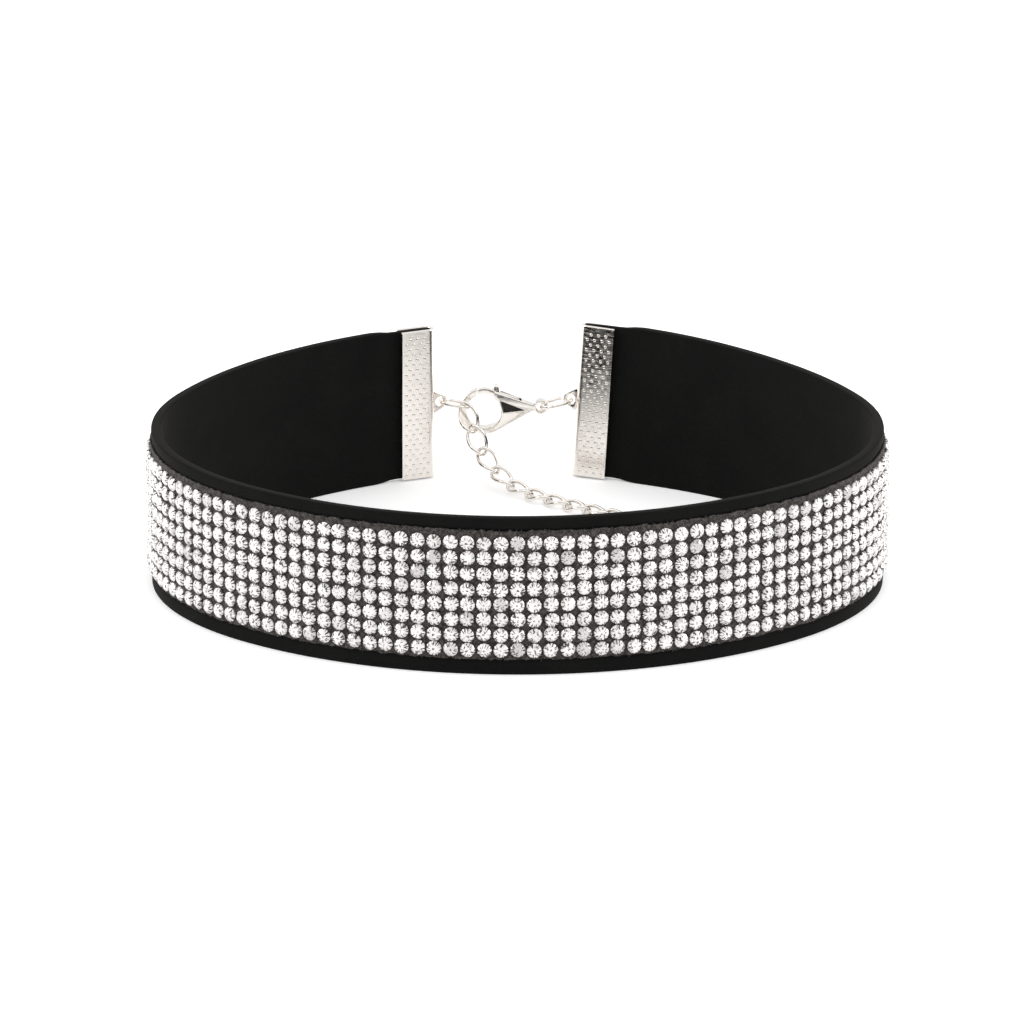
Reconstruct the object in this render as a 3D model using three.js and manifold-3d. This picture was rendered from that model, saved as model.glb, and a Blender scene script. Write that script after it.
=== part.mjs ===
// A velvet choker with a band of rhinestones, standing in a closed ring on its lower edge.
// Millimetres, +Z up. The front of the band faces -Y and the clasp is at the back.
import * as THREE from 'three';
import { mergeVertices } from 'three/addons/utils/BufferGeometryUtils.js';
import Module from 'manifold-3d';

const wasm = await Module();
wasm.setup();

// The ribbon's plan: bends from the front centre round to either end, the same on both sides.
const RIBBON_BENDS = [
  { radius: 55, turn: 42 },
  { radius: 39.5, turn: 20.5 },
  { radius: 33.5, turn: 52 },
  { radius: 62, turn: 60 },
];
const FRONT_TO_MIDDLE = 44.47; // front centre of the ribbon to the middle of the whole necklace
const WALL_STEP = 2.4; // length of one flat facet round the ribbon

const RIBBON_HEIGHT = 22;
const RIBBON_THICKNESS = 1.4;
const PINCHED_THICKNESS = 0.9; // the pile is crushed inside the ribbon ends
const PINCH_LENGTH = 3;

// Lengths along the ribbon from the front centre to the closed end of each ribbon end.
const LEFT_LENGTH = 133.3;
const RIGHT_LENGTH = 136.9;

// The right ribbon end leans back out of the ring, and a little sideways, about its lug.
const RIGHT_LEAN = 5; // degrees
const RIGHT_SIDE_LEAN = 2;
const LEAN_STARTS = 36; // length of ribbon over which the lean grows

const GAP = 0.25; // between pieces that touch on the real necklace

const STRIP_BOTTOM = 2.2;
const STRIP_TOP = 20.3;
const STRIP_THICKNESS = 1; // mesh and stones together
const STRIP_SHORT_OF_CRIMP = 8;
const STRIP_BED_DEPTH = 0.35; // the strip presses the pile down this far
const BED_MARGIN = 0.3; // by which the pressed bed is larger than the strip, all round

const CRIMP_DEPTH = 5.2;
const CRIMP_SHEET = 0.5;
const CRIMP_INSET = 0.25; // the metal is this much shorter than the ribbon at either edge
const LUG_HEIGHT = 10.8;
const LUG_HALF_BASE = 1.7;
const LUG_REACH = 1.95;
const LUG_SHEET = 0.6;
const LUG_HOLE_RADIUS = 0.65;
const LUG_HOLE_REACH = 0.85;

const RING_RADIUS = 2.2; // middle of the wire
const WIRE_RADIUS = 0.28;
const LEFT_RING = { x: -8.71, y: 43.42, z: 10.23, sideTilt: 10.8, frontTilt: -8.7 };
const RIGHT_RING = { x: 5.44, y: 43.6, z: 10.3, sideTilt: -13.1, frontTilt: -5.6 };

// The lobster claw, measured from the middle of its eye, with the nose towards -X.
const CLASP_AT = { x: 3.25, y: 43.43, z: 9.85, tilt: -4 };
const HOOK_REACH = 7.95; // eye to the middle of the hook
const HOOK_RADIUS = 3.3;
const HOOK_HOLE_RADIUS = 2.45;
const EYE_RADIUS = 1.15;
const EYE_HOLE_RADIUS = 0.62;
const CLASP_THICKNESS = 2.3;
const NOSE_THICKNESS = 1.2;
const SLOT_WIDTH = 1.2;
const SLOT_FLOOR = -1;
const SLOT_END = -1.9;
const SHOULDER = -6.3; // the cheeks of the slot start here
const CHEEKS_END = -2.4; // from here the claw thins to the eye
const NOSE_STARTS = -9.4; // and from here on it is thin round the nose
const MOUTH_FLOOR = 1; // the hook is open above this height
const WINDOW = [[-5.15, 0.85], [-1.75, -0.15], [-4.9, -0.4]];
const PIVOT = { x: -3.4, z: 0.95 };
const PIVOT_HUB_RADIUS = 0.75;
const GATE_REACH = 5.5; // pivot to the tip of the lever
const GATE_CLEARANCE = 0.2;
const GATE_THICKNESS = 1.1;
const TONGUE_THICKNESS = 0.8;
const NUB = { x: -5.9, z: 3.2, radius: 0.5 };

// Extension chain of curb links, each a wire oval twisted a quarter turn.
const LINK_COUNT = 15;
const LINK_PITCH = 3.5;
const LINK_CLEARANCE = 0.4;
const LINK_HALF_WIDTH = 1.2; // middle of the wire
const LINK_TWIST = 45;
const LYING_HEIGHT = 0.74; // middle of a link that lies flat
// The chain hangs from the left ring, comes down inside the band and lies towards the front right.
const CHAIN_ROUTE = [
  { x: -7.38, y: 41.78, z: 10.4 },
  { x: -6.3, y: 40.03, z: 7.6 },
  { x: -4.95, y: 38.43, z: 4.8 },
  { x: -3.05, y: 36.33, z: 2.65 },
  { x: -0.8, y: 33.88, z: 1.3 },
  { x: 1.75, y: 31.53, z: 0.84 },
  { x: 5.4, y: 28.3, z: LYING_HEIGHT },
  { x: 12.4, y: 22.53, z: LYING_HEIGHT },
  { x: 33, y: 9.43, z: LYING_HEIGHT },
];
// Heading of a link's flat side, in degrees from +X, at the first link and from the landing on.
const HANGING_HEADING = -100;
const LYING_HEADING = -39;
const LINKS_THAT_TURN = 5;

const radians = THREE.MathUtils.degToRad;

const finishes = {
  velvet: { color: 0x141412, roughness: 1, metalness: 0 },
  stones: { color: 0xb9bac0, roughness: 0.15, metalness: 0.3 },
  metal: { color: 0xc8c6c0, roughness: 0.25, metalness: 1 },
};

function piece(name, geometry, finish) {
  const mesh = new THREE.Mesh(geometry, new THREE.MeshStandardMaterial(finishes[finish]));
  mesh.name = name;
  return mesh;
}

function toSolid(geometry) {
  const bare = geometry.clone();
  bare.deleteAttribute('normal');
  bare.deleteAttribute('uv');
  const merged = mergeVertices(bare, 1e-4);
  return new wasm.Manifold(new wasm.Mesh({
    numProp: 3,
    vertProperties: merged.attributes.position.array,
    triVerts: new Uint32Array(merged.index.array),
  }));
}

function toGeometry(solid) {
  const mesh = solid.getMesh();
  const geometry = new THREE.BufferGeometry();
  geometry.setAttribute('position', new THREE.BufferAttribute(mesh.vertProperties, 3));
  geometry.setIndex(new THREE.BufferAttribute(mesh.triVerts, 1));
  geometry.computeVertexNormals();
  return geometry;
}

// A point on the middle line of the ribbon, at a length from the front centre, right positive.
// along points away from the front centre, and out points out of the ring.
function ribbonPlan(length) {
  const side = Math.sign(length) || 1;
  let left = Math.abs(length);
  let heading = 0;
  let x = 0;
  let y = 0;
  for (const { radius, turn } of RIBBON_BENDS) {
    const step = Math.min(left / radius, radians(turn));
    x += radius * (Math.sin(heading + step) - Math.sin(heading));
    y += radius * (Math.cos(heading) - Math.cos(heading + step));
    heading += step;
    left = Math.max(0, left - radius * step);
  }
  return {
    x: side * x,
    y: y - FRONT_TO_MIDDLE,
    along: new THREE.Vector2(side * Math.cos(heading), Math.sin(heading)),
    out: new THREE.Vector2(side * Math.sin(heading), -Math.cos(heading)),
  };
}

// How far out the ribbon is carried by its lean at a length and a height.
function leanOut(length, height) {
  const starts = RIGHT_LENGTH - LEAN_STARTS;
  const grown = THREE.MathUtils.smoothstep(length, starts, RIGHT_LENGTH - CRIMP_DEPTH);
  return (height - LUG_HEIGHT) * Math.tan(radians(RIGHT_LEAN)) * grown;
}

// A wall that follows the ribbon between two lengths, bent from a straight bar. inner and outer
// give the distance of its two faces from the middle line at a length.
function followingWall(from, to, inner, outer, bottom, top) {
  const steps = Math.ceil((to - from) / WALL_STEP);
  const wall = new THREE.BoxGeometry(to - from, 1, top - bottom, steps, 1, 1);
  const corners = wall.getAttribute('position');
  for (let i = 0; i < corners.count; i += 1) {
    const length = (from + to) / 2 + corners.getX(i);
    const height = (bottom + top) / 2 + corners.getZ(i);
    const face = corners.getY(i) < 0 ? outer : inner;
    const { x, y, out } = ribbonPlan(length);
    const distance = face(length) + leanOut(length, height);
    corners.setXYZ(i, x + out.x * distance, y + out.y * distance, height);
  }
  wall.computeVertexNormals();
  return wall;
}

// A flat outline drawn in X and Z, given a thickness along Y about the XZ plane.
function upright(outline, thickness) {
  const options = { depth: thickness, bevelEnabled: false, curveSegments: 16 };
  return new THREE.ExtrudeGeometry(outline, options)
    .rotateX(Math.PI / 2)
    .translate(0, thickness / 2, 0);
}

function disc(x, z, radius, thickness) {
  const outline = new THREE.Shape().absarc(x, z, radius, 0, 2 * Math.PI);
  return toSolid(upright(outline, thickness));
}

function block(low, high) {
  const size = high.map((value, i) => value - low[i]);
  const middle = high.map((value, i) => (value + low[i]) / 2);
  return toSolid(new THREE.BoxGeometry(...size).translate(...middle));
}

// The wall that the strip fills, or with a margin the bed that it presses into the pile.
function stripWall(inner, outer, margin) {
  const short = CRIMP_DEPTH + STRIP_SHORT_OF_CRIMP - margin;
  return followingWall(-(LEFT_LENGTH - short), RIGHT_LENGTH - short, () => inner, () => outer,
    STRIP_BOTTOM - margin, STRIP_TOP + margin);
}

function velvetBand() {
  const reachInside = CRIMP_SHEET + 3 * GAP;
  const from = -(LEFT_LENGTH - reachInside);
  const to = RIGHT_LENGTH - reachInside;
  const half = (length) => {
    const toEnd = length < 0 ? length - from : to - length;
    const pinch = 1 - THREE.MathUtils.smoothstep(toEnd, CRIMP_DEPTH, CRIMP_DEPTH + PINCH_LENGTH);
    return THREE.MathUtils.lerp(RIBBON_THICKNESS, PINCHED_THICKNESS, pinch) / 2;
  };
  const ribbon = followingWall(from, to, (length) => -half(length), half, 0, RIBBON_HEIGHT);
  const bed = stripWall(RIBBON_THICKNESS / 2 - STRIP_BED_DEPTH, RIBBON_THICKNESS, BED_MARGIN);
  return toGeometry(toSolid(ribbon).subtract(toSolid(bed)));
}

function rhinestoneStrip() {
  const inner = RIBBON_THICKNESS / 2 - STRIP_BED_DEPTH + GAP;
  return stripWall(inner, inner + STRIP_THICKNESS, 0);
}

// A sheet folded round the ribbon's end, its fold towards +X, with a pierced lug at the fold.
function crimp() {
  const innerHalf = PINCHED_THICKNESS / 2 + GAP;
  const outerHalf = innerHalf + CRIMP_SHEET;
  const bend = outerHalf - CRIMP_SHEET;
  const section = new THREE.Shape();
  section.moveTo(-CRIMP_DEPTH, -outerHalf);
  section.lineTo(-bend, -outerHalf);
  section.absellipse(-bend, 0, bend, outerHalf, -Math.PI / 2, Math.PI / 2);
  section.lineTo(-CRIMP_DEPTH, outerHalf);
  section.lineTo(-CRIMP_DEPTH, innerHalf);
  section.lineTo(-bend - CRIMP_SHEET, innerHalf);
  section.absellipse(-bend - CRIMP_SHEET, 0, bend, innerHalf, Math.PI / 2, -Math.PI / 2, true);
  section.lineTo(-CRIMP_DEPTH, -innerHalf);
  const height = RIBBON_HEIGHT - 2 * CRIMP_INSET;
  const options = { depth: height, bevelEnabled: false, curveSegments: 8 };
  const fold = new THREE.ExtrudeGeometry(section, options).translate(0, 0, CRIMP_INSET);

  const tip = LUG_REACH - LUG_HOLE_REACH;
  const lug = new THREE.Shape();
  lug.moveTo(-CRIMP_SHEET / 2, LUG_HALF_BASE);
  lug.lineTo(-CRIMP_SHEET / 2, -LUG_HALF_BASE);
  lug.lineTo(0, -LUG_HALF_BASE);
  lug.absarc(LUG_HOLE_REACH, 0, tip, -Math.PI / 3, Math.PI / 3);
  lug.lineTo(0, LUG_HALF_BASE);
  lug.holes.push(new THREE.Path().absarc(LUG_HOLE_REACH, 0, LUG_HOLE_RADIUS, 0, 2 * Math.PI));
  const lugPlate = upright(lug, LUG_SHEET).translate(0, 0, LUG_HEIGHT);
  return toGeometry(toSolid(fold).add(toSolid(lugPlate)));
}

function placeCrimp(mesh, length, lean, sideLean) {
  const end = ribbonPlan(length);
  const middle = ribbonPlan(length - Math.sign(length) * CRIMP_DEPTH / 2);
  mesh.geometry.translate(0, 0, -LUG_HEIGHT)
    .rotateY(radians(-sideLean))
    .rotateX(radians(lean))
    .translate(0, 0, LUG_HEIGHT);
  mesh.position.set(end.x, end.y, 0);
  mesh.rotation.z = Math.atan2(middle.along.y, middle.along.x);
  return mesh;
}

function jumpRing() {
  const sides = 8;
  const profile = Array.from({ length: sides + 1 }, (_, i) => {
    const turn = (2 * Math.PI * (i % sides)) / sides;
    return new THREE.Vector2(RING_RADIUS + WIRE_RADIUS * Math.cos(turn), WIRE_RADIUS * Math.sin(turn));
  });
  return new THREE.LatheGeometry(profile, 28).rotateX(Math.PI / 2);
}

function placeRing(mesh, { x, y, z, sideTilt, frontTilt }) {
  mesh.position.set(x, y, z);
  mesh.rotation.set(radians(frontTilt), radians(sideTilt), 0);
  return mesh;
}

// Drop-shaped outline round the hook and the eye, with the hook's hole, the eye's hole and the
// three-cornered window in each cheek.
function clawOutline() {
  const lean = Math.acos((HOOK_RADIUS - EYE_RADIUS) / HOOK_REACH);
  const outline = new THREE.Shape();
  outline.absarc(-HOOK_REACH, 0, HOOK_RADIUS, lean, 2 * Math.PI - lean);
  outline.absarc(0, 0, EYE_RADIUS, -lean, lean);
  const window = new THREE.Path(WINDOW.map(([x, z]) => new THREE.Vector2(x, z)));
  window.closePath();
  outline.holes.push(
    new THREE.Path().absarc(-HOOK_REACH, 0, HOOK_HOLE_RADIUS, 0, 2 * Math.PI),
    new THREE.Path().absarc(0, 0, EYE_HOLE_RADIUS, 0, 2 * Math.PI),
    window,
  );
  return outline;
}

function claspBody() {
  const top = HOOK_RADIUS + 1;
  const nose = -HOOK_REACH - HOOK_RADIUS - 1;
  const halfNose = NOSE_THICKNESS / 2;
  const halfBody = CLASP_THICKNESS / 2;
  const farSide = [
    [EYE_RADIUS + 1, halfNose],
    [-EYE_RADIUS, halfNose],
    [CHEEKS_END, halfBody],
    [SHOULDER, halfBody],
    [NOSE_STARTS, halfNose],
    [nose, halfNose],
  ];
  const nearSide = farSide.map(([x, y]) => [x, -y]).reverse();
  const seenFromAbove = new THREE.Shape(
    [...farSide, ...nearSide].map(([x, y]) => new THREE.Vector2(x, y)),
  );
  const taper = new THREE.ExtrudeGeometry(seenFromAbove, { depth: 2 * top, bevelEnabled: false });
  taper.translate(0, 0, -top);
  const swing = disc(PIVOT.x, PIVOT.z, GATE_REACH + GATE_CLEARANCE, CLASP_THICKNESS + 1);
  const mouth = block([nose, -CLASP_THICKNESS, MOUTH_FLOOR], [SHOULDER, CLASP_THICKNESS, top]);
  const slot = block([SHOULDER - 1, -SLOT_WIDTH / 2, SLOT_FLOOR], [SLOT_END, SLOT_WIDTH / 2, top]);
  const claw = toSolid(upright(clawOutline(), CLASP_THICKNESS))
    .intersect(toSolid(taper))
    .subtract(mouth.intersect(swing))
    .subtract(slot);
  return toGeometry(claw);
}

// The lever: a gate that closes the hook's mouth, and a tongue in the slot with a thumb nub.
function claspLever() {
  const outer = HOOK_RADIUS - 0.1;
  const inner = HOOK_HOLE_RADIUS + 0.05;
  const rootOut = radians(62);
  const rootIn = radians(30);
  const sweep = new THREE.Shape();
  sweep.absarc(-HOOK_REACH, 0, inner, Math.PI, rootIn, true);
  sweep.lineTo(PIVOT.x - 0.3, PIVOT.z - 0.65);
  sweep.absarc(PIVOT.x, PIVOT.z, PIVOT_HUB_RADIUS, radians(-110), radians(75));
  sweep.absarc(-HOOK_REACH, 0, outer, rootOut, Math.PI);
  const reach = disc(PIVOT.x, PIVOT.z, GATE_REACH, CLASP_THICKNESS);
  const nose = -HOOK_REACH - HOOK_RADIUS;
  const gateSide = block([nose, -CLASP_THICKNESS, MOUTH_FLOOR],
    [SHOULDER - GATE_CLEARANCE, CLASP_THICKNESS, HOOK_RADIUS]);
  const tongueSide = block([nose, -CLASP_THICKNESS, 0], [0, CLASP_THICKNESS, HOOK_RADIUS]);
  const gate = toSolid(upright(sweep, GATE_THICKNESS)).intersect(gateSide);
  const tongue = toSolid(upright(sweep, TONGUE_THICKNESS)).intersect(tongueSide);
  const nub = disc(NUB.x, NUB.z, NUB.radius, TONGUE_THICKNESS);
  const nubRoot = block([NUB.x - NUB.radius, -TONGUE_THICKNESS / 2, 1.6],
    [NUB.x + NUB.radius, TONGUE_THICKNESS / 2, NUB.z]);
  return toGeometry(gate.add(tongue).intersect(reach).add(nub).add(nubRoot));
}

function placeClasp(mesh) {
  mesh.position.set(CLASP_AT.x, CLASP_AT.y, CLASP_AT.z);
  mesh.rotation.y = radians(CLASP_AT.tilt);
  return mesh;
}

// A closed oval of wire along X, whose two ends are turned opposite ways about X.
class TwistedOval extends THREE.Curve {
  getPoint(share, target = new THREE.Vector3()) {
    const turn = 2 * Math.PI * share;
    const roll = -radians(LINK_TWIST) * Math.cos(turn);
    const halfLength = (LINK_PITCH + LINK_CLEARANCE) / 2 + WIRE_RADIUS;
    const across = LINK_HALF_WIDTH * Math.sin(turn);
    return target.set(halfLength * Math.cos(turn), across * Math.cos(roll), across * Math.sin(roll));
  }
}

// The wire closes on itself, so the tube has no ends.
function chainLink() {
  return new THREE.TubeGeometry(new TwistedOval(), 20, WIRE_RADIUS, 8, true);
}

// Points a link's pitch apart along the chain's route.
function chainJoints() {
  const route = new THREE.CatmullRomCurve3(CHAIN_ROUTE.map(({ x, y, z }) => new THREE.Vector3(x, y, z)));
  const fine = route.getSpacedPoints(4000);
  const joints = [fine[0]];
  for (const point of fine) {
    if (joints.length <= LINK_COUNT && point.distanceTo(joints.at(-1)) >= LINK_PITCH) {
      joints.push(point);
    }
  }
  return joints;
}

function extensionChain() {
  const joints = chainJoints();
  const chain = new THREE.Group();
  for (let i = 0; i < LINK_COUNT; i += 1) {
    const along = joints[i + 1].clone().sub(joints[i]).normalize();
    const turned = Math.min(i / LINKS_THAT_TURN, 1);
    const heading = radians(THREE.MathUtils.lerp(HANGING_HEADING, LYING_HEADING, turned));
    const across = new THREE.Vector3(-Math.sin(heading), Math.cos(heading), 0);
    across.addScaledVector(along, -across.dot(along)).normalize();
    const up = new THREE.Vector3().crossVectors(along, across);
    const link = piece(`chain_link_${String(i + 1).padStart(2, '0')}`, chainLink(), 'metal');
    link.position.addVectors(joints[i], joints[i + 1]).multiplyScalar(0.5);
    link.quaternion.setFromRotationMatrix(new THREE.Matrix4().makeBasis(along, across, up));
    chain.add(link);
  }
  return chain;
}

const necklace = new THREE.Group();
necklace.add(
  piece('velvet_band', velvetBand(), 'velvet'),
  piece('rhinestone_strip', rhinestoneStrip(), 'stones'),
  placeCrimp(piece('crimp_left', crimp(), 'metal'), -LEFT_LENGTH, 0, 0),
  placeCrimp(piece('crimp_right', crimp(), 'metal'), RIGHT_LENGTH, RIGHT_LEAN, RIGHT_SIDE_LEAN),
  placeRing(piece('jump_ring_left', jumpRing(), 'metal'), LEFT_RING),
  placeRing(piece('jump_ring_right', jumpRing(), 'metal'), RIGHT_RING),
  placeClasp(piece('clasp_body', claspBody(), 'metal')),
  placeClasp(piece('clasp_lever', claspLever(), 'metal')),
  extensionChain(),
);

export default necklace;
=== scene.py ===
# The looks of a velvet choker with a band of rhinestones, standing closed in a ring. Metres, +Z up.
import math
import random

import bmesh
import bpy
import numpy as np
from mathutils import Matrix, Vector


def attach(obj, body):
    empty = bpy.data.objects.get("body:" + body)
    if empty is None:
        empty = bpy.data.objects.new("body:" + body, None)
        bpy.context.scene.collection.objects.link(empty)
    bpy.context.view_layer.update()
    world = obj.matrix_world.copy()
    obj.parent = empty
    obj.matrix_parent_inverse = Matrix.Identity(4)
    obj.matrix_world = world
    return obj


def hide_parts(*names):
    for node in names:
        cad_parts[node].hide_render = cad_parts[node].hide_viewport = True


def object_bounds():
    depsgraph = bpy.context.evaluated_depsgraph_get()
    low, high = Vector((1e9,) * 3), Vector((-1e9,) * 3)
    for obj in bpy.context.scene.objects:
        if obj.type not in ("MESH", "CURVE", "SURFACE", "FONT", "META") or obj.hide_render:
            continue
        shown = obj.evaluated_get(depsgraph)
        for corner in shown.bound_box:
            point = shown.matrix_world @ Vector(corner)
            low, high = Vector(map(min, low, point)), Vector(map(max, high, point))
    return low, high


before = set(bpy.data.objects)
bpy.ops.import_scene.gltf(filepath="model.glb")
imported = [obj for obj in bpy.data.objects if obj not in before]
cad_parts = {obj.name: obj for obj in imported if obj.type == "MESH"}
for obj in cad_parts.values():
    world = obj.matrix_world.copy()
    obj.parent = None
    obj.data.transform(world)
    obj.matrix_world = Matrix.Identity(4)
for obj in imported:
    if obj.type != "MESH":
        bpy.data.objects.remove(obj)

cad_low, cad_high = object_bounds()


# ---- Camera, floor and studio light -------------------------------------------------------------
# A long lens looks down a little on the front of the band. The floor is plain and pale, and broad
# soft light from all round keeps the shadows faint, as in a light tent.
CAMERA_AIM = Vector((-0.00075, 0.00745, 0.00594))
CAMERA_DISTANCE = 1.8915
CAMERA_ELEVATION = math.radians(17.889)
CAMERA_LENS = 484.56

back = Vector((0, -math.cos(CAMERA_ELEVATION), math.sin(CAMERA_ELEVATION)))
camera = bpy.data.objects.new("camera", bpy.data.cameras.new("camera"))
camera.data.lens = CAMERA_LENS
camera.data.clip_end = 50
camera.location = CAMERA_AIM + back * CAMERA_DISTANCE
camera.rotation_mode = "QUATERNION"
camera.rotation_quaternion = back.to_track_quat("Z", "Y")
bpy.context.scene.collection.objects.link(camera)
bpy.context.scene.camera = camera


def linear(colour, alpha=1.0):
    """An sRGB hex value as the linear colour that a shader takes."""
    parts = [int(colour[i:i + 2], 16) / 255 for i in (1, 3, 5)]
    return (*[p / 12.92 if p <= 0.04045 else ((p + 0.055) / 1.055) ** 2.4 for p in parts], alpha)


def add_node(tree, kind, inputs=None, **settings):
    """Adds one shader node. An input that is given a socket is linked to it."""
    node = tree.nodes.new("ShaderNode" + kind)
    for name, value in settings.items():
        setattr(node, name, value)
    for name, value in (inputs or {}).items():
        if isinstance(value, bpy.types.NodeSocket):
            tree.links.new(value, node.inputs[name])
        else:
            node.inputs[name].default_value = value
    return node


def new_material(name):
    """An empty material with its output, ready for its surface."""
    material = bpy.data.materials.new(name)
    material.use_nodes = True
    material.node_tree.nodes.clear()
    return material, material.node_tree


def new_piece(name, bm, material, body, smooth=True):
    """Makes a bmesh into a piece that rides on a body and takes its finish from a slot."""
    mesh = bpy.data.meshes.new(name)
    for face in bm.faces:
        face.smooth = smooth
    bm.to_mesh(mesh)
    bm.free()
    mesh.materials.append(material)
    piece = bpy.data.objects.new(name, mesh)
    bpy.context.scene.collection.objects.link(piece)
    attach(piece, body)
    return piece


FLOOR_SIZE = 6.0
LAMP_SIZE = 1.2
CARD_GLOW = 0.2  # the card is lit from behind

card, card_tree = new_material("matt_white_card")
card_matt = add_node(card_tree, "BsdfDiffuse", {"Color": linear("#fbfbfb")})
card_glow = add_node(card_tree, "Emission", {"Color": linear("#ffffff"), "Strength": CARD_GLOW})
card_surface = add_node(card_tree, "AddShader", {0: card_matt.outputs[0], 1: card_glow.outputs[0]})
add_node(card_tree, "OutputMaterial", {"Surface": card_surface.outputs[0]})

bm = bmesh.new()
bmesh.ops.create_grid(bm, x_segments=1, y_segments=1, size=FLOOR_SIZE / 2)
floor_mesh = bpy.data.meshes.new("floor")
bm.to_mesh(floor_mesh)
bm.free()
floor_mesh.materials.append(card)
floor = bpy.data.objects.new("floor", floor_mesh)
bpy.context.scene.collection.objects.link(floor)

world = bpy.data.worlds.new("light_tent")
world.use_nodes = True
world.node_tree.nodes["Background"].inputs["Color"].default_value = linear("#ffffff")
world.node_tree.nodes["Background"].inputs["Strength"].default_value = 1.0
bpy.context.scene.world = world

for lamp_name, place, power in (
    ("lamp_above", (0.0, -0.25, 1.3), 1.5),
    ("lamp_left", (-1.4, -0.1, 0.4), 16.0),
    ("lamp_right", (1.4, -0.1, 0.4), 16.0),
):
    lamp = bpy.data.objects.new(lamp_name, bpy.data.lights.new(lamp_name, "AREA"))
    lamp.data.energy = power
    lamp.data.size = LAMP_SIZE
    lamp.location = place
    lamp.rotation_mode = "QUATERNION"
    lamp.rotation_quaternion = Vector(place).to_track_quat("Z", "Y")
    bpy.context.scene.collection.objects.link(lamp)
bpy.context.scene.view_settings.view_transform = "Standard"


# ---- Velvet ribbon ------------------------------------------------------------------------------
# A woven ribbon with short cut pile on both faces and closed edges, bent round into a ring. The
# strip of stones presses its pile down outside, and the metal ends crush it at the back.
FRONT_Y = -0.04447
RIBBON_BENDS = (  # radius, turn in degrees, from the front centre round to either end
    (0.055, 42),
    (0.0395, 20.5),
    (0.0335, 52),
    (0.062, 60),
)
LEFT_LENGTH = 0.1333
RIGHT_LENGTH = 0.1369
RIBBON_HEIGHT = cad_high.z
RIBBON_HALF = 0.0007
RIBBON_EDGE_ROUND = 0.00045
PINCHED_HALF = 0.00045
PINCHED_LOWER = 0.028  # share by which the metal squeezes the ribbon's height
CRIMP_DEPTH = 0.0052
PINCH_LENGTH = 0.003
SHORT_OF_FOLD = 0.001
LUG_HEIGHT = 0.0108
RIGHT_LEAN = math.radians(5)  # the right end leans back out of the ring about its lug
LEAN_STARTS = 0.036
BED_DEPTH = 0.00035
BED_BOTTOM = 0.0019
BED_TOP = 0.0206
BED_FADE = 0.003
STRIP_SHORT_OF_CRIMP = 0.008
STEP_ALONG = 0.0012


def ribbon_place(length):
    """A point on the ribbon's middle line, the way along it and the way out of the ring."""
    side = -1 if length < 0 else 1
    left, heading, x, y = abs(length), 0.0, 0.0, FRONT_Y
    for radius, turn in RIBBON_BENDS:
        step = min(left / radius, math.radians(turn))
        x += radius * (math.sin(heading + step) - math.sin(heading))
        y += radius * (math.cos(heading) - math.cos(heading + step))
        heading += step
        left = max(0.0, left - radius * step)
    along = Vector((side * math.cos(heading), math.sin(heading), 0))
    out = Vector((side * math.sin(heading), -math.cos(heading), 0))
    return Vector((side * x, y, 0)), along, out


def sweep_round(bm, section, end, step, length_layer):
    """Spins a section from the front centre round the bends to a length, right positive."""
    side = -1 if end < 0 else 1
    left, length = abs(end), 0.0
    for radius, turn in RIBBON_BENDS:
        bend = min(left, radius * math.radians(turn))
        if bend <= 0:
            break
        place, _, out = ribbon_place(side * length)
        steps = math.ceil(bend / step)
        for _ in range(steps):
            spun = bmesh.ops.spin(bm, geom=section, cent=place - out * radius, axis=(0, 0, side), dvec=(0, 0, 0),
                                  angle=bend / steps / radius, steps=1, use_merge=False, use_duplicate=False)
            section = spun["geom_last"]
            length += bend / steps
            for vert in section:
                if isinstance(vert, bmesh.types.BMVert):
                    vert[length_layer] = side * length
        left -= bend
    return [edge for edge in section if isinstance(edge, bmesh.types.BMEdge)]


def ribbon_sweep(corners, rounding, left_end, right_end, step):
    """A wall round the ribbon. corners are (distance out, height) with their roundings."""
    bm = bmesh.new()
    length_layer = bm.verts.layers.float.new("length")
    verts = [bm.verts.new((0, FRONT_Y - outward, height)) for outward, height in corners]
    face = bm.faces.new(verts)
    bmesh.ops.bevel(bm, geom=verts, offset=rounding, offset_type="OFFSET", segments=3, profile=0.5,
                    affect="VERTICES", material=-1)
    face = next(iter(bm.faces))
    edges = list(face.edges)
    bmesh.ops.delete(bm, geom=[face], context="FACES_ONLY")
    section = list({vert for edge in edges for vert in edge.verts}) + edges
    for end in (left_end, right_end):
        bmesh.ops.edgeloop_fill(bm, edges=sweep_round(bm, section, end, step, length_layer))
    bmesh.ops.recalc_face_normals(bm, faces=bm.faces)
    return bm, length_layer


def smoothstep(value, low, high):
    share = min(max((value - low) / (high - low), 0.0), 1.0)
    return share * share * (3 - 2 * share)


def ribbon_slope(length):
    """How far out the ribbon leans for each metre of height, at a length along it."""
    return math.tan(RIGHT_LEAN) * smoothstep(length, RIGHT_LENGTH - LEAN_STARTS, RIGHT_LENGTH - CRIMP_DEPTH)


velvet_left = -(LEFT_LENGTH - SHORT_OF_FOLD)
velvet_right = RIGHT_LENGTH - SHORT_OF_FOLD
strip_left = -(LEFT_LENGTH - CRIMP_DEPTH - STRIP_SHORT_OF_CRIMP)
strip_right = RIGHT_LENGTH - CRIMP_DEPTH - STRIP_SHORT_OF_CRIMP

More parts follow.
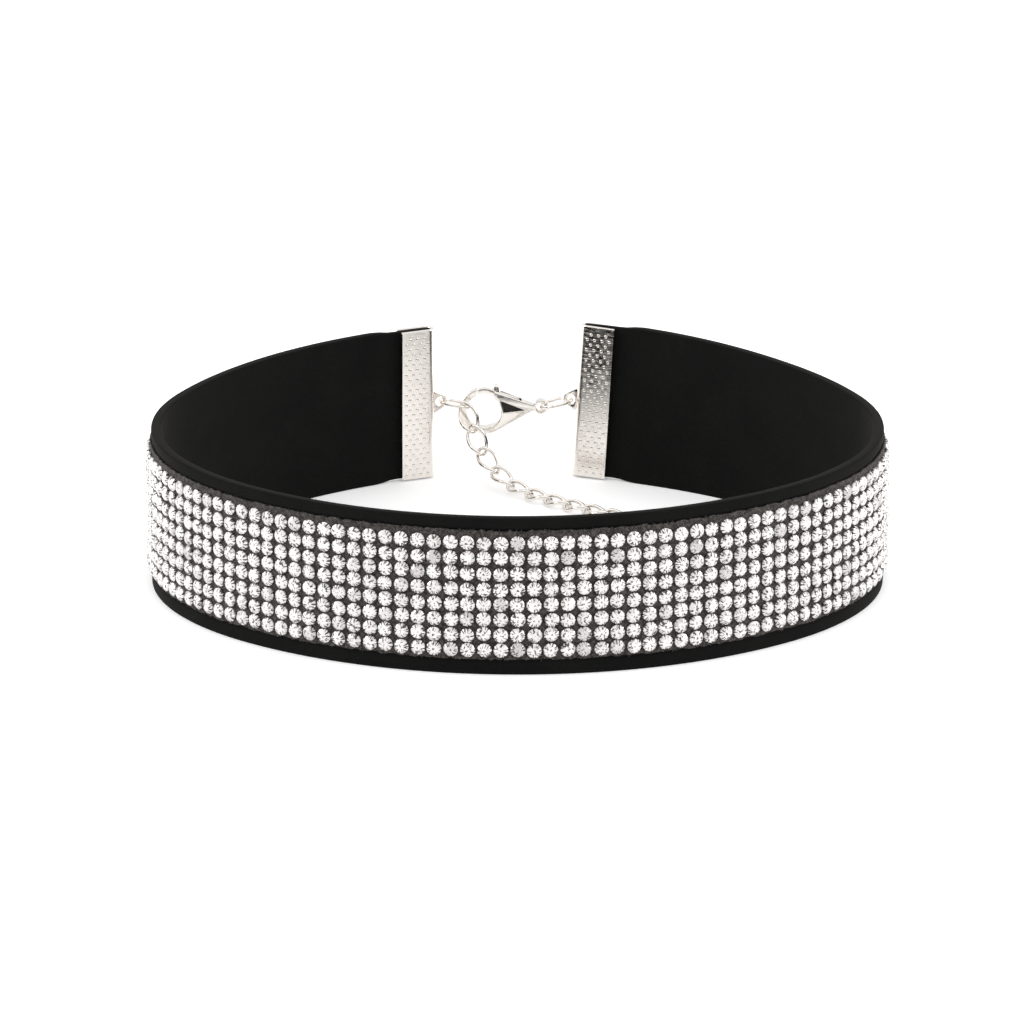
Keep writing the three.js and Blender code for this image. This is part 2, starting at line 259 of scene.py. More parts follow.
bed_out = RIBBON_HALF - BED_DEPTH
bm, length_layer = ribbon_sweep(
    [(-RIBBON_HALF, 0), (RIBBON_HALF, 0), (RIBBON_HALF, BED_BOTTOM), (bed_out, BED_BOTTOM + BED_DEPTH),
     (bed_out, BED_TOP - BED_DEPTH), (RIBBON_HALF, BED_TOP), (RIBBON_HALF, RIBBON_HEIGHT),
     (-RIBBON_HALF, RIBBON_HEIGHT)],
    RIBBON_EDGE_ROUND * 0.6, velvet_left, velvet_right, STEP_ALONG)
for vert in bm.verts:
    length = vert[length_layer]
    middle, _, out = ribbon_place(length)
    outward = (vert.co - middle).dot(out)
    in_bed = smoothstep(length, strip_left - BED_FADE, strip_left) \
        * (1 - smoothstep(length, strip_right, strip_right + BED_FADE))
    if outward > 0 and BED_BOTTOM < vert.co.z < BED_TOP:
        vert.co += out * (RIBBON_HALF - outward) * (1 - in_bed)
        outward = (vert.co - middle).dot(out)
    to_end = min(length - velvet_left, velvet_right - length)
    pinch = 1 - smoothstep(to_end, CRIMP_DEPTH, CRIMP_DEPTH + PINCH_LENGTH)
    vert.co -= out * outward * pinch * (1 - PINCHED_HALF / RIBBON_HALF)
    vert.co.z += (RIBBON_HEIGHT / 2 - vert.co.z) * pinch * PINCHED_LOWER
    vert.co += out * (vert.co.z - LUG_HEIGHT) * ribbon_slope(length)

# Velvet: black rayon pile, woven double and cut. It drinks in light, and only its tips catch a
# little where it is seen along the surface.
PILE_TUFT = 0.00025  # a tuft of pile is about 0.1 mm, drawn coarser so that it shows
PILE_BRUSHING = 0.006
velvet, tree = new_material("cut_pile_black_velvet")
place_in = add_node(tree, "TexCoord").outputs["Object"]
brushing = add_node(tree, "TexNoise", {"Vector": place_in, "Scale": 1 / PILE_BRUSHING, "Detail": 3.0})
tufts = add_node(tree, "TexNoise", {"Vector": place_in, "Scale": 1 / PILE_TUFT, "Detail": 2.0})
tone = add_node(tree, "Math", {0: brushing.outputs["Fac"], 1: tufts.outputs["Fac"]}, operation="MULTIPLY")
shade = add_node(tree, "ValToRGB", {"Fac": tone.outputs[0]})
shade.color_ramp.elements[0].position = 0.1
shade.color_ramp.elements[0].color = linear("#0b0b0b")
shade.color_ramp.elements[1].position = 0.5
shade.color_ramp.elements[1].color = linear("#131312")
pile = add_node(tree, "Bump", {"Height": tufts.outputs["Fac"], "Strength": 0.5, "Distance": 0.00008})
velvet_surface = add_node(tree, "BsdfPrincipled", {
    "Base Color": shade.outputs["Color"], "Roughness": 1.0, "Specular IOR Level": 0.1,
    "Sheen Weight": 0.06, "Sheen Roughness": 0.4, "Sheen Tint": linear("#b3aca2"),
    "Normal": pile.outputs["Normal"]})
add_node(tree, "OutputMaterial", {"Surface": velvet_surface.outputs[0]})

velvet_ribbon = new_piece("velvet_ribbon", bm, velvet, "necklace")
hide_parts("velvet_band")


# ---- Net that carries the stones ----------------------------------------------------------------
# A strip of dark grey polyester net, cut off along its edges and heat-glued into the pile. Cut
# thread ends stand up along its edges.
STRIP_BOTTOM = 0.0022
STRIP_TOP = 0.0203
NET_INNER = 0.0006
NET_OUTER = 0.00085
NET_MESH = 0.00032  # one hole of the net
FLUFF_SIZE = 0.00045  # tangles of cut thread

bm, length_layer = ribbon_sweep(
    [(NET_INNER, STRIP_BOTTOM), (NET_OUTER, STRIP_BOTTOM), (NET_OUTER, STRIP_TOP), (NET_INNER, STRIP_TOP)],
    0.00005, strip_left, strip_right, 0.0006)
draw = random.Random(11)
ragged = {}
for vert in bm.verts:
    key = (round(vert[length_layer], 6), vert.co.z > RIBBON_HEIGHT / 2)
    vert.co.z += ragged.setdefault(key, draw.uniform(-0.00014, 0.00014))

THREAD_ENDS = 420
for _ in range(THREAD_ENDS):
    length = draw.uniform(strip_left, strip_right)
    middle, along, out = ribbon_place(length)
    top = draw.random() < 0.65
    height = STRIP_TOP if top else STRIP_BOTTOM
    lean = Matrix.Rotation(draw.uniform(-1.1, 1.1), 4, out) @ Matrix.Rotation(0 if top else math.pi, 4, out)
    size = draw.uniform(0.00012, 0.0003)
    seat = Matrix.Translation(middle + out * (NET_OUTER - 0.00008) + Vector((0, 0, height)))
    thread = bmesh.ops.create_cone(bm, segments=5, radius1=0.00007, radius2=0.00003, depth=size * 2,
                                   cap_ends=True, matrix=seat @ lean)
    for vert in thread["verts"]:
        vert[length_layer] = length
for vert in bm.verts:
    length = vert[length_layer]
    vert.co += ribbon_place(length)[2] * (vert.co.z - LUG_HEIGHT) * ribbon_slope(length)

# Net: knitted polyester thread, dyed dark grey. Seen close it is a fine diamond mesh of matt
# threads over darker holes.
net, tree = new_material("knitted_dark_polyester_net")
height = add_node(tree, "SeparateXYZ", {"Vector": add_node(tree, "TexCoord").outputs["Object"]}).outputs["Z"]
length = add_node(tree, "Attribute", attribute_name="length").outputs["Fac"]
threads = []
for operation in ("ADD", "SUBTRACT"):
    slanted = add_node(tree, "Math", {0: length, 1: height}, operation=operation)
    turns = add_node(tree, "Math", {0: slanted.outputs[0], 1: 2 * math.pi / (NET_MESH * math.sqrt(2))},
                     operation="MULTIPLY")
    wave = add_node(tree, "Math", {0: turns.outputs[0]}, operation="SINE")
    threads.append(add_node(tree, "Math", {0: wave.outputs[0], 1: 0.5, 2: 0.5},
                            operation="MULTIPLY_ADD").outputs[0])
mesh_height = add_node(tree, "Math", {0: threads[0], 1: threads[1]}, operation="MAXIMUM")
fluff = add_node(tree, "TexNoise", {"Vector": add_node(tree, "TexCoord").outputs["Object"],
                                    "Scale": 1 / FLUFF_SIZE, "Detail": 4.0, "Roughness": 0.7})
fluff_light = add_node(tree, "MapRange", {"Value": fluff.outputs["Fac"], "From Min": 0.38, "From Max": 0.68})
lit = add_node(tree, "Math", {0: mesh_height.outputs[0], 1: 0.55}, operation="MULTIPLY")
lit = add_node(tree, "Math", {0: lit.outputs[0], 1: 0.35}, operation="ADD")
lit = add_node(tree, "Math", {0: lit.outputs[0], 1: fluff_light.outputs[0]}, operation="MULTIPLY")
shade = add_node(tree, "ValToRGB", {"Fac": lit.outputs[0]})
shade.color_ramp.elements[0].position = 0.08
shade.color_ramp.elements[0].color = linear("#1b1918")
shade.color_ramp.elements[1].position = 0.8
shade.color_ramp.elements[1].color = linear("#534e4b")
relief = add_node(tree, "Bump", {"Height": mesh_height.outputs[0], "Strength": 0.6, "Distance": 0.0001})
net_surface = add_node(tree, "BsdfPrincipled", {
    "Base Color": shade.outputs["Color"], "Roughness": 0.8, "Specular IOR Level": 0.3,
    "Normal": relief.outputs["Normal"]})
add_node(tree, "OutputMaterial", {"Surface": net_surface.outputs[0]})

net_strip = new_piece("net_strip", bm, net, "necklace", smooth=False)
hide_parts("rhinestone_strip")


# ---- Rhinestones --------------------------------------------------------------------------------
# Machine-cut round glass stones in eight rows, glued to the net in a square grid. Each is a little
# off its place, turned its own way and tilted by the glue under it.
STONE_RADIUS = 0.00103
STONE_ROWS = 8
ROW_PITCH = 0.002147
FIRST_ROW = 0.00353
COLUMN_PITCH = 0.002209
FIRST_COLUMN = math.ceil((strip_left + STONE_RADIUS) / COLUMN_PITCH)
LAST_COLUMN = math.floor((strip_right - STONE_RADIUS) / COLUMN_PITCH)
STONE_SIDES = 12
STONE_RINGS = (  # height above the net, radius as a share of the stone's, whether turned half a side
    (0.00022, 1.0, False),
    (0.00040, 0.82, True),
    (0.00055, 0.56, False),
)


def cut_stone():
    """A stone on the XY plane: a short girdle, two rows of three-cornered facets and a table."""
    stone = bmesh.new()
    uv_layer = stone.loops.layers.uv.new("cut")
    bmesh.ops.create_circle(stone, cap_ends=True, segments=STONE_SIDES, radius=STONE_RADIUS * 0.97)
    face = next(iter(stone.faces))
    below, share_below = 0.0, 0.97
    for height, share, half_turned in STONE_RINGS:
        grown = bmesh.ops.extrude_face_region(stone, geom=[face])["geom"]
        face = next(f for f in grown if isinstance(f, bmesh.types.BMFace))
        turn = math.pi / STONE_SIDES * (1 if half_turned else -1) * (share < 1)
        shape = Matrix.Translation((0, 0, height - below)) @ Matrix.Rotation(turn, 4, "Z") \
            @ Matrix.Diagonal((share / share_below, share / share_below, 1, 1))
        bmesh.ops.transform(stone, matrix=shape, verts=list(face.verts))
        below, share_below = height, share
    slanted = [f for f in stone.faces if len(f.verts) == 4 and f.calc_center_median().z > STONE_RINGS[0][0]]
    bmesh.ops.triangulate(stone, faces=slanted)
    bmesh.ops.recalc_face_normals(stone, faces=stone.faces)
    for facet in stone.faces:
        for loop in facet.loops:
            loop[uv_layer].uv = (loop.vert.co.x / STONE_RADIUS, loop.vert.co.y / STONE_RADIUS)
    return stone


bm = cut_stone()
stone_layer = bm.verts.layers.float.new("stone")
facet_layer = bm.faces.layers.float.new("facet")
pattern = list(bm.verts) + list(bm.edges) + list(bm.faces)
for column in range(FIRST_COLUMN, LAST_COLUMN + 1):
    for row in range(STONE_ROWS):
        copy = bmesh.ops.duplicate(bm, geom=pattern)["geom"]
        length = column * COLUMN_PITCH + draw.gauss(0, 0.00004)
        middle, _, out = ribbon_place(length)
        height = FIRST_ROW + row * ROW_PITCH + draw.gauss(0, 0.00005)
        seat = middle + out * (NET_OUTER + (height - LUG_HEIGHT) * ribbon_slope(length))
        seat.z = height
        facing = (out - Vector((0, 0, ribbon_slope(length)))).to_track_quat("Z", "Y").to_matrix().to_4x4()
        tilt = Matrix.Rotation(draw.gauss(0, 0.05), 4, "X") @ Matrix.Rotation(draw.gauss(0, 0.05), 4, "Y")
        turn = Matrix.Rotation(draw.uniform(0, 2 * math.pi), 4, "Z")
        verts = [v for v in copy if isinstance(v, bmesh.types.BMVert)]
        bmesh.ops.transform(bm, matrix=Matrix.Translation(seat) @ facing @ tilt @ turn, verts=verts)
        own = draw.random()
        for vert in verts:
            vert[stone_layer] = own
        for facet in copy:
            if isinstance(facet, bmesh.types.BMFace):
                facet[facet_layer] = draw.random()
bmesh.ops.delete(bm, geom=pattern, context="VERTS")

# Stone: cut glass with a silvered and lacquered back. Its colour holds painted reflections: almost white
# flashes, a random painted shade on each facet, some whole stones darker, dark patches, a dark middle and
# thin dark strokes that run out from the middle, standing for back facets that turn away from the light.
stone, tree = new_material("cut_glass_painted_reflections")
cut = add_node(tree, "UVMap", uv_map="cut").outputs["UV"]
own = add_node(tree, "Attribute", attribute_name="stone").outputs["Fac"]
facet = add_node(tree, "Attribute", attribute_name="facet").outputs["Fac"]
from_middle = add_node(tree, "VectorMath", {0: cut}, operation="LENGTH").outputs["Value"]
way_out = add_node(tree, "VectorMath", {0: cut}, operation="NORMALIZE").outputs["Vector"]
seed = add_node(tree, "Math", {0: own, 1: 97.0}, operation="MULTIPLY").outputs[0]
stroke_depth = add_node(tree, "Math", {0: from_middle, 1: 0.9, 2: seed}, operation="MULTIPLY_ADD").outputs[0]
ring_place = add_node(tree, "VectorMath", {0: way_out, "Scale": 2.6}, operation="SCALE").outputs["Vector"]
ring_parts = add_node(tree, "SeparateXYZ", {"Vector": ring_place})
stroke_place = add_node(tree, "CombineXYZ", {"X": ring_parts.outputs["X"], "Y": ring_parts.outputs["Y"],
                                             "Z": stroke_depth})
strokes = add_node(tree, "TexNoise", {"Vector": stroke_place.outputs[0], "Scale": 1.6, "Detail": 1.0})
# Painted dark reflections: strokes that run out towards the rim.
stroke_mask = add_node(tree, "MapRange", {"Value": strokes.outputs["Fac"], "From Min": 0.49, "From Max": 0.40})
rim_mask = add_node(tree, "MapRange", {"Value": from_middle, "From Min": 0.25, "From Max": 0.55})
rim_strokes = add_node(tree, "Math", {0: stroke_mask.outputs[0], 1: rim_mask.outputs[0]}, operation="MULTIPLY")
mark_shift = add_node(tree, "CombineXYZ", {"X": seed, "Y": seed, "Z": seed})
mark_place = add_node(tree, "VectorMath", {0: cut, 1: mark_shift.outputs[0]}, operation="ADD")
marks = add_node(tree, "TexNoise", {"Vector": mark_place.outputs["Vector"], "Scale": 2.6, "Detail": 1.0})
# A painted dark patch, placed its own way on each stone.
painted_dark_patch = add_node(tree, "MapRange", {"Value": marks.outputs["Fac"], "From Min": 0.40, "From Max": 0.33})
uneven = add_node(tree, "Math", {0: marks.outputs["Fac"], 1: 0.7, 2: from_middle}, operation="MULTIPLY_ADD")
# A painted dark patch round the middle of the stone.
painted_dark_middle = add_node(tree, "MapRange", {"Value": uneven.outputs[0], "From Min": 0.56, "From Max": 0.42,
                                    "To Max": 0.7})
dark = add_node(tree, "Math", {0: rim_strokes.outputs[0], 1: painted_dark_patch.outputs[0]}, operation="MAXIMUM")
dark = add_node(tree, "Math", {0: dark.outputs[0], 1: painted_dark_middle.outputs[0]}, operation="MAXIMUM")
# Some whole stones a painted shade darker, and a random painted shade on each facet.
darker_stones = add_node(tree, "MapRange", {"Value": own, "From Min": 0.72, "From Max": 1.0, "To Min": 0.0, "To Max": 0.3})
painted_facet_shade = add_node(tree, "Math", {0: facet, 1: 0.26, 2: darker_stones.outputs[0]}, operation="MULTIPLY_ADD")
darkness = add_node(tree, "Math", {0: dark.outputs[0], 1: painted_facet_shade.outputs[0]}, operation="MAXIMUM")
tone = add_node(tree, "ValToRGB", {"Fac": darkness.outputs[0]})
# Painted reflections: the light end is the white flash, the dark end the dark reflection.
tone.color_ramp.elements[0].color = linear("#efebe9")
tone.color_ramp.elements[1].color = linear("#3a3735")
stone_surface = add_node(tree, "BsdfPrincipled", {
    "Base Color": tone.outputs["Color"], "Metallic": 0.25, "Roughness": 0.12,
    "Coat Weight": 0.6, "Coat Roughness": 0.03, "Coat IOR": 1.52})
add_node(tree, "OutputMaterial", {"Surface": stone_surface.outputs[0]})

rhinestones = new_piece("rhinestones", bm, stone, "necklace", smooth=False)
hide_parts("rhinestone_strip")


# ---- Folded ribbon ends -------------------------------------------------------------------------
# Thin steel sheet, stamped with a staggered grid of small raised dots, folded over the ribbon's
# end and pressed shut. A pierced lug stands out of the fold and holds a jump ring.
CRIMP_SHEET = 0.0005
CRIMP_HALF = PINCHED_HALF + 0.00025 + CRIMP_SHEET
CRIMP_INSET = 0.00025
CRIMP_EDGE = 0.00012
DOT_PITCH = 0.00108
DOT_ROW_PITCH = 0.00073
DOT_RADIUS = 0.00024
DOT_RISE = 0.00004
FLATTER_THAN = math.radians(12)
DOT_MARGIN = 0.0006
RIGHT_SIDE_LEAN = math.radians(2)
LUG_HOLE_REACH = 0.00085
LUG_HOLE_RADIUS = 0.00065
LUG_RADIUS = 0.0011
LUG_SHEET = 0.0006
LUG_HALF_BASE = 0.0017


def only_verts(geometry):
    return [part for part in geometry if isinstance(part, bmesh.types.BMVert)]


def draw_arc(bm, start, centre, turn):
    """Draws an arc in X and Z on from a vertex. A positive turn goes from +X towards +Z."""
    steps = max(3, math.ceil(abs(turn) / math.radians(9)))
    spun = bmesh.ops.spin(bm, geom=[start], cent=(centre[0], 0, centre[1]), axis=(0, -1, 0), dvec=(0, 0, 0),
                          angle=turn, steps=steps, use_merge=False, use_duplicate=False)
    return only_verts(spun["geom_last"])[0]


def draw_line(bm, start, end):
    vert = bm.verts.new((end[0], 0, end[1]))
    bm.edges.new((start, vert))
    return vert


def draw_circle(bm, centre, radius, sides=24):
    """A closed round outline in X and Z."""
    upright = Matrix.Translation((centre[0], 0, centre[1])) @ Matrix.Rotation(math.pi / 2, 4, "X")
    bmesh.ops.create_circle(bm, segments=sides, radius=radius, matrix=upright)


def thicken_outlines(bm, thickness, rounding):
    """Fills the outlines in bm with their holes left open, and gives the sheet rounded rims."""
    bmesh.ops.remove_doubles(bm, verts=bm.verts, dist=1e-7)
    bmesh.ops.triangle_fill(bm, use_beauty=True, use_dissolve=False, edges=bm.edges)
    bmesh.ops.translate(bm, vec=(0, -thickness / 2, 0), verts=bm.verts)
    raised = bmesh.ops.extrude_face_region(bm, geom=list(bm.faces))["geom"]
    bmesh.ops.translate(bm, vec=(0, thickness, 0), verts=only_verts(raised))
    bmesh.ops.recalc_face_normals(bm, faces=bm.faces)
    rims = [edge for edge in bm.edges if edge.calc_face_angle(0) > math.radians(60)]
    bmesh.ops.bevel(bm, geom=rims, offset=rounding, offset_type="OFFSET", segments=3, profile=0.5,
                    affect="EDGES", material=-1, clamp_overlap=True)


def join_into(bm, part, matrix=Matrix()):
    """Moves a finished part into another bmesh."""
    bmesh.ops.transform(part, matrix=matrix, verts=part.verts)
    mesh = bpy.data.meshes.new("part")
    part.to_mesh(mesh)
    part.free()
    bm.from_mesh(mesh)
    bpy.data.meshes.remove(mesh)


def ribbon_end():
    """A folded end with its fold at the origin towards +X, standing upright."""
    bm = bmesh.new()
    height = RIBBON_HEIGHT - 2 * CRIMP_INSET
    inside = CRIMP_HALF - CRIMP_SHEET
    first = bm.verts.new((-CRIMP_DEPTH, 0, -CRIMP_HALF))
    bend = draw_arc(bm, draw_line(bm, first, (-CRIMP_HALF, -CRIMP_HALF)), (-CRIMP_HALF, 0), math.pi)
    mouth = draw_line(bm, draw_line(bm, bend, (-CRIMP_DEPTH, CRIMP_HALF)), (-CRIMP_DEPTH, inside))
    bend = draw_arc(bm, draw_line(bm, mouth, (-CRIMP_HALF, inside)), (-CRIMP_HALF, 0), -math.pi)
    bm.edges.new((draw_line(bm, bend, (-CRIMP_DEPTH, -inside)), first))
    thicken_outlines(bm, height, CRIMP_EDGE)
    for edge in bm.edges:
        edge.smooth = edge.calc_face_angle(0) < FLATTER_THAN
    upright = Matrix.Translation((0, 0, RIBBON_HEIGHT / 2)) @ Matrix.Rotation(math.pi / 2, 4, "X")
    bmesh.ops.transform(bm, matrix=upright, verts=bm.verts)

    low_dome = Matrix.Diagonal((1, 1, DOT_RISE / DOT_RADIUS, 1))
    rows = int((height - 2 * DOT_MARGIN) / DOT_ROW_PITCH) + 1
    for row in range(rows):
        reach = -CRIMP_DEPTH + DOT_MARGIN + DOT_PITCH / 2 * (row % 2)
        while reach < -CRIMP_HALF:
            for side in (-1, 1):
                seat = Matrix.Translation((reach, side * CRIMP_HALF, CRIMP_INSET + DOT_MARGIN + row * DOT_ROW_PITCH))
                face_out = Matrix.Rotation(-side * math.pi / 2, 4, "X")
                bmesh.ops.create_uvsphere(bm, u_segments=10, v_segments=6, radius=DOT_RADIUS,
                                          matrix=seat @ face_out @ low_dome)
            reach += DOT_PITCH

    lug = bmesh.new()
    first = lug.verts.new((-CRIMP_SHEET / 2, 0, LUG_HALF_BASE))
    under = draw_line(lug, first, (-CRIMP_SHEET / 2, -LUG_HALF_BASE))
    low = draw_line(lug, under, (0, -LUG_HALF_BASE))
    lean = math.radians(60)
    neck = draw_line(lug, low, (LUG_HOLE_REACH + LUG_RADIUS * math.cos(lean), -LUG_RADIUS * math.sin(lean)))
    high = draw_line(lug, draw_arc(lug, neck, (LUG_HOLE_REACH, 0), 2 * lean), (0, LUG_HALF_BASE))
    lug.edges.new((high, first))
    draw_circle(lug, (LUG_HOLE_REACH, 0), LUG_HOLE_RADIUS)
    thicken_outlines(lug, LUG_SHEET, 0.00015)
    join_into(bm, lug, Matrix.Translation((0, 0, LUG_HEIGHT)))
    return bm


# Plating: bright nickel over steel, barrelled and not buffed. It mirrors the room softly and keeps
# faint scuffs where it is handled.
SCUFF_LENGTH = 0.0012
nickel, tree = new_material("bright_nickel_plated_steel")
place_in = add_node(tree, "TexCoord").outputs["Object"]
drawn_out = add_node(tree, "Mapping", {"Vector": place_in, "Scale": (1.0, 1.0, 6.0)})
scuffs = add_node(tree, "TexNoise", {"Vector": drawn_out.outputs[0], "Scale": 1 / SCUFF_LENGTH, "Detail": 4.0})
dulling = add_node(tree, "MapRange", {"Value": scuffs.outputs["Fac"], "From Min": 0.35, "From Max": 0.7,
                                      "To Min": 0.10, "To Max": 0.28})
tint = add_node(tree, "ValToRGB", {"Fac": scuffs.outputs["Fac"]})
tint.color_ramp.elements[0].color = linear("#dcd6d0")
tint.color_ramp.elements[1].color = linear("#f5f0ea")
ripple = add_node(tree, "Bump", {"Height": scuffs.outputs["Fac"], "Strength": 0.06, "Distance": 0.00005})
nickel_surface = add_node(tree, "BsdfPrincipled", {
    "Base Color": tint.outputs["Color"], "Metallic": 1.0, "Roughness": dulling.outputs[0],
    "Normal": ripple.outputs["Normal"]})
add_node(tree, "OutputMaterial", {"Surface": nickel_surface.outputs[0]})

for name, end, lean, side_lean in (
    ("left", -LEFT_LENGTH, 0.0, 0.0),
    ("right", RIGHT_LENGTH, RIGHT_LEAN, RIGHT_SIDE_LEAN),
):
    bm = ribbon_end()
    fold, _, _ = ribbon_place(end)
    _, along, _ = ribbon_place(end - math.copysign(CRIMP_DEPTH / 2, end))
    about_lug = Matrix.Translation((0, 0, LUG_HEIGHT)) @ Matrix.Rotation(lean, 4, "X") \
        @ Matrix.Rotation(-side_lean, 4, "Y") @ Matrix.Translation((0, 0, -LUG_HEIGHT))
    turn = Matrix.Rotation(math.atan2(along.y, along.x), 4, "Z")
    bmesh.ops.transform(bm, matrix=Matrix.Translation(fold) @ turn @ about_lug, verts=bm.verts)
    crimp = new_piece(f"ribbon_end_{name}", bm, nickel, "necklace")
    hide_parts(f"crimp_{name}")


# ---- Jump rings ---------------------------------------------------------------------------------
# Round nickel-plated wire bent into rings that close butt to butt. One joins the left lug to the
# chain and takes the claw; the other joins the right lug to the claw's eye.
WIRE_RADIUS = 0.00028
WIRE_SIDES = 14
RING_RADIUS = 0.0022
RING_STEPS = 60
RING_CUT = 0.00006
RINGS = (  # name, middle, tilt to the side and to the front in degrees, where the cut is
    ("left", (-0.00871, 0.04342, 0.01023), 10.8, -8.7, 60),
    ("right", (0.00544, 0.0436, 0.0103), -13.1, -5.6, -100),
)


def wire_section(bm, matrix):
    """A round section of the wire: its vertices and edges."""
    made = bmesh.ops.create_circle(bm, segments=WIRE_SIDES, radius=WIRE_RADIUS, matrix=matrix)["verts"]
    return made + list({edge for vert in made for edge in vert.link_edges})


def only_edges(geometry):
    return [part for part in geometry if isinstance(part, bmesh.types.BMEdge)]


for name, middle, side_tilt, front_tilt, cut_at in RINGS:
    bm = bmesh.new()
    section = wire_section(bm, Matrix.Translation((RING_RADIUS, 0, 0)) @ Matrix.Rotation(math.pi / 2, 4, "X"))
    first = only_edges(section)
    spun = bmesh.ops.spin(bm, geom=section, cent=(0, 0, 0), axis=(0, 0, 1), dvec=(0, 0, 0),
                          angle=2 * math.pi - RING_CUT / RING_RADIUS, steps=RING_STEPS,
                          use_merge=False, use_duplicate=False)
    for rim in (first, only_edges(spun["geom_last"])):
        bmesh.ops.edgeloop_fill(bm, edges=rim)
    bmesh.ops.recalc_face_normals(bm, faces=bm.faces)
    tilt = Matrix.Rotation(math.radians(front_tilt), 4, "X") @ Matrix.Rotation(math.radians(side_tilt), 4, "Y")
    turn = Matrix.Rotation(math.radians(cut_at), 4, "Z")
    bmesh.ops.transform(bm, matrix=Matrix.Translation(middle) @ tilt @ turn, verts=bm.verts)
    ring = new_piece(f"ring_{name}", bm, nickel, "necklace")
    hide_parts(f"jump_ring_{name}")


# ---- Lobster claw -------------------------------------------------------------------------------
# A cast zinc claw, nickel plated: a round hook, two cheeks that taper to the eye with the lever's
# slot between them, and in each cheek a three-cornered recess that the plating hardly reaches. Each
# recess floor is a dark plate: partly bare zinc and partly painted shade.
CLASP_AT = (0.00325, 0.04343, 0.00985)
CLASP_TILT = math.radians(-4)
HOOK_AT = (-0.00795, 0.0)
HOOK_RADIUS = 0.0033
HOOK_HOLE_RADIUS = 0.00242
EYE_RADIUS = 0.00105
EYE_HOLE_RADIUS = 0.00062
NECK = (-0.001, 0.00038)  # where the claw is narrowest, just short of the eye
MOUTH_REACH = 0.00562  # from the lever's pivot to the nose
SHOULDER = -0.0063
CHEEK_THICKNESS = 0.0023
NOSE_THICKNESS = 0.0012
CLASP_ROUNDING = 0.0002
SHARPER_THAN = math.radians(50)
WINDOW = ((-0.00545, 0.0014), (-0.00225, -0.00012), (-0.00515, -0.00028))
RECESS_SPREAD = 1.25
RECESS_FLOOR = 0.00062  # from the claw's middle plane to the back of the recess's floor
RECESS_SHEET = 0.00015
SLOT_LOW = (-0.0073, -0.0006, -0.0008)
SLOT_HIGH = (-0.0026, 0.0006, 0.0043)
PIVOT = (-0.0034, 0.00095)


def on_circle(centre, radius, angle):
    return centre[0] + radius * math.cos(angle), centre[1] + radius * math.sin(angle)


def angle_at_reach(radius, reach):
    """Where a circle round the hook's middle is a given distance from the lever's pivot."""
    away = math.dist(HOOK_AT, PIVOT)
    towards = math.atan2(PIVOT[1] - HOOK_AT[1], PIVOT[0] - HOOK_AT[0])
    return towards + math.acos((away ** 2 + radius ** 2 - reach ** 2) / (2 * away * radius))


def clasp_thickness(x):
    """How thick the claw is at a place along it, as a share of the cheeks' thickness."""
    towards_eye = smoothstep(x, -0.0024, -EYE_RADIUS)
    towards_nose = 1 - smoothstep(x, -0.0094, SHOULDER)
    return 1 - (1 - NOSE_THICKNESS / CHEEK_THICKNESS) * max(towards_eye, towards_nose)


def round_off(piece):
    """Smooths a casting, but keeps the edges that its rounding leaves sharp."""
    piece.data.polygons.foreach_set("use_smooth", [True] * len(piece.data.polygons))
    piece.data.set_sharp_from_angle(angle=SHARPER_THAN)


def cut_block(bm, low, high):
    """Takes a block out of a closed bmesh and returns what is left."""
    made = []
    cutter = bmesh.new()
    middle = [(a + b) / 2 for a, b in zip(low, high)]
    size = [b - a for a, b in zip(low, high)]
    bmesh.ops.create_cube(cutter, size=1, matrix=Matrix.Translation(middle) @ Matrix.Diagonal((*size, 1)))
    for name, part in (("whole", bm), ("cutter", cutter)):
        mesh = bpy.data.meshes.new(name)
        part.to_mesh(mesh)
        part.free()
        made.append(bpy.data.objects.new(name, mesh))
        bpy.context.scene.collection.objects.link(made[-1])
    cut = made[0].modifiers.new("cut", "BOOLEAN")
    cut.operation, cut.solver, cut.object = "DIFFERENCE", "EXACT", made[1]
    left = bmesh.new()
    left.from_object(made[0], bpy.context.evaluated_depsgraph_get())
    for part in made:
        bpy.data.meshes.remove(part.data)
    return left


place_clasp = Matrix.Translation(CLASP_AT) @ Matrix.Rotation(CLASP_TILT, 4, "Y")

bm = bmesh.new()
nose = angle_at_reach(HOOK_RADIUS, MOUTH_REACH)
nose_inside = angle_at_reach(HOOK_HOLE_RADIUS, MOUTH_REACH)
shoulder_angle = math.acos((SHOULDER - HOOK_AT[0]) / HOOK_HOLE_RADIUS)
to_neck = math.atan2(NECK[1], NECK[0] - HOOK_AT[0]) + math.acos(HOOK_RADIUS / math.dist(NECK, HOOK_AT))
eye_side = math.pi - math.asin(NECK[1] / EYE_RADIUS)
leaves_hook = on_circle(HOOK_AT, HOOK_RADIUS, to_neck)
share = (SHOULDER - leaves_hook[0]) / (NECK[0] - leaves_hook[0])
tip = on_circle(HOOK_AT, HOOK_RADIUS, nose)
tip_vert = bm.verts.new((tip[0], 0, tip[1]))
belly = draw_arc(bm, tip_vert, HOOK_AT, 2 * math.pi - to_neck - nose)
under_eye = draw_line(bm, belly, on_circle((0, 0), EYE_RADIUS, -eye_side))
over_eye = draw_arc(bm, under_eye, (0, 0), 2 * eye_side)
shoulder = draw_line(bm, over_eye, (SHOULDER, leaves_hook[1] + (NECK[1] - leaves_hook[1]) * share))
seat = draw_line(bm, shoulder, on_circle(HOOK_AT, HOOK_HOLE_RADIUS, shoulder_angle))
inside_tip = draw_arc(bm, seat, HOOK_AT, -(2 * math.pi + shoulder_angle - nose_inside))
bm.edges.new((inside_tip, tip_vert))
draw_circle(bm, (0, 0), EYE_HOLE_RADIUS)
window = [bm.verts.new((x, 0, z)) for x, z in WINDOW]
